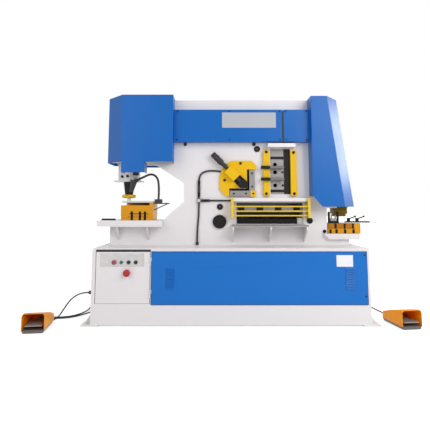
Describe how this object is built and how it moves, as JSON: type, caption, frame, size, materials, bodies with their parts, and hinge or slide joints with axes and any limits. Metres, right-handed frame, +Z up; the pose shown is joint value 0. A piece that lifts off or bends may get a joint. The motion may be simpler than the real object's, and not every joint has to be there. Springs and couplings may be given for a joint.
{
  "type": "hydraulic ironworker",
  "caption": "Hydraulic ironworker: cabinet base with a deep steel frame, punching end, angle, bar and flat shears, notching end, control door and foot switches on leads.",
  "frame": {"origin": "on the floor, at the centre of the four anchor holes", "axes": "+X to the right along the machine as seen by the operator, +Y to the back, +Z up"},
  "size_m": [2.8824, 0.9721, 1.7976],
  "materials": {
    "blue_paint": "gloss enamel",
    "white_paint": "gloss enamel",
    "yellow_paint": "gloss enamel",
    "tool_steel": "ground",
    "black_steel": "blackened, oiled",
    "bronze_steel": "oiled, straw coloured",
    "chromed_rod": "hard chrome",
    "grey_paint": "satin",
    "orange_paint": "gloss enamel",
    "black_rubber": "matt",
    "black_plastic": "satin",
    "red_plastic": "gloss",
    "green_plastic": "gloss",
    "clear_lens": "gloss"
  },
  "bodies": {
    "machine": {"base_cabinet": "white_paint", "front_panel": "blue_paint", "electrics_board": "grey_paint", "oil_tank": "grey_paint", "power_unit": "grey_paint", "frame_front_plate": "white_paint", "frame_body": "white_paint", "punch_cover": "blue_paint", "notcher_cover": "blue_paint", "band_covers": "blue_paint", "punch_cylinder": "white_paint", "punch_table": "white_paint", "die_block": "yellow_paint", "punch_die": "tool_steel", "stripper_plate": "tool_steel", "work_lamp": "black_plastic", "angle_plate": "yellow_paint", "angle_fixed_blades": "tool_steel", "bar_strips": "yellow_paint", "bar_rest_pins": "black_steel", "bar_fixed_blade": "tool_steel", "flat_guard": "yellow_paint", "flat_lower_blade": "black_steel", "feed_table": "white_paint", "pivot_pin": "black_steel", "notch_table": "white_paint", "notch_die": "yellow_paint", "shear_cylinder": "tool_steel", "lube_line": "black_rubber", "left_pedal_hood": "orange_paint", "left_pedal_base": "grey_paint", "right_pedal_hood": "orange_paint", "right_pedal_base": "grey_paint", "cord_glands": "black_plastic", "left_cord": "black_rubber", "right_cord": "black_rubber"},
    "shear_beam": {"shear_beam": "tool_steel", "angle_moving_blade": "tool_steel", "bar_moving_blade": "black_steel", "flat_upper_blade": "black_steel", "notch_punch": "bronze_steel"},
    "shear_rod": {"shear_rod": "chromed_rod"},
    "punch": {"punch_ram": "white_paint", "punch_holder": "black_steel", "punch_nut": "yellow_paint", "punch": "tool_steel"},
    "angle_clamp_block": {"angle_clamp_block": "black_steel"},
    "angle_clamp_screw": {"angle_clamp_screw": "black_steel"},
    "electrics_door": {"electrics_door": "white_paint", "power_lamp": "clear_lens"},
    "stop_button": {"stop_button": "red_plastic"},
    "start_button": {"start_button": "green_plastic"},
    "emergency_stop": {"emergency_stop": "red_plastic"},
    "selector_left": {"selector_left": "black_plastic"},
    "selector_right": {"selector_right": "black_plastic"},
    "left_treadle": {"left_treadle": "black_plastic"},
    "right_treadle": {"right_treadle": "black_plastic"},
    "notch_gauge": {"notch_gauge": "tool_steel"},
    "notch_lever_left": {"notch_lever_left": "black_steel"},
    "notch_lever_right": {"notch_lever_right": "black_steel"}
  },
  "joints": [
    {"name": "shear_swing", "type": "hinge", "parent": "machine", "child": "shear_beam", "pos_m": [-0.081, 0, 0.759], "axis": [0, 1, 0], "range_deg": [0, 4]},
    {"name": "shear_rod_slide", "type": "slide", "parent": "machine", "child": "shear_rod", "axis": [0, 0, -1], "range_m": [0, 0.056]},
    {"name": "punch_slide", "type": "slide", "parent": "machine", "child": "punch", "axis": [0, 0, -1], "range_m": [-0.05, 0.024]},
    {"name": "clamp_slide", "type": "slide", "parent": "machine", "child": "angle_clamp_block", "axis": [0.7071, 0, -0.7071], "range_m": [-0.03, 0.012]},
    {"name": "clamp_screw_turn", "type": "hinge", "parent": "angle_clamp_block", "child": "angle_clamp_screw", "pos_m": [0.147, -0.16, 1.033], "axis": [0.7071, 0, -0.7071], "range_deg": [-1801, 721]},
    {"name": "door_hinge", "type": "hinge", "parent": "machine", "child": "electrics_door", "pos_m": [-0.604, -0.405, 0.355], "axis": [0, 0, 1], "range_deg": [0, 100]},
    {"name": "stop_press", "type": "slide", "parent": "electrics_door", "child": "stop_button", "axis": [0, 1, 0], "range_m": [0, 0.004], "stiffness_N_per_m": 500},
    {"name": "start_press", "type": "slide", "parent": "electrics_door", "child": "start_button", "axis": [0, 1, 0], "range_m": [0, 0.004], "stiffness_N_per_m": 500},
    {"name": "emergency_press", "type": "slide", "parent": "electrics_door", "child": "emergency_stop", "axis": [0, 1, 0], "range_m": [0, 0.006], "stiffness_N_per_m": 1500},
    {"name": "selector_left_turn", "type": "hinge", "parent": "electrics_door", "child": "selector_left", "pos_m": [-0.764, -0.4, 0.467], "axis": [0, 1, 0], "range_deg": [-45, 45]},
    {"name": "selector_right_turn", "type": "hinge", "parent": "electrics_door", "child": "selector_right", "pos_m": [-0.711, -0.4, 0.467], "axis": [0, 1, 0], "range_deg": [-45, 45]},
    {"name": "left_treadle_press", "type": "hinge", "parent": "machine", "child": "left_treadle", "pos_m": [-1.41369, -0.38893, 0.049], "axis": [0.9903, 0.1392, 0], "range_deg": [0, 6], "stiffness_Nm_per_rad": 20, "springref_deg": -5.73},
    {"name": "right_treadle_press", "type": "hinge", "parent": "machine", "child": "right_treadle", "pos_m": [1.27831, -0.29893, 0.049], "axis": [0.9903, 0.1392, 0], "range_deg": [0, 6], "stiffness_Nm_per_rad": 20, "springref_deg": -5.73},
    {"name": "gauge_slide", "type": "slide", "parent": "machine", "child": "notch_gauge", "axis": [1, 0, 0], "range_m": [-0.04, 0.04]},
    {"name": "lever_left_turn", "type": "hinge", "parent": "machine", "child": "notch_lever_left", "pos_m": [0.997, -0.082, 0.77], "axis": [0, 0, 1], "range_deg": [-60, 30]},
    {"name": "lever_right_turn", "type": "hinge", "parent": "machine", "child": "notch_lever_right", "pos_m": [1.068, -0.082, 0.77], "axis": [0, 0, 1], "range_deg": [-60, 30]}
  ],
  "couplings": [
    {"joint": "shear_rod_slide", "follows": "shear_swing", "m_per_rad": 0.8},
    {"joint": "clamp_screw_turn", "follows": "clamp_slide", "rad_per_m": 1047.2}
  ]
}
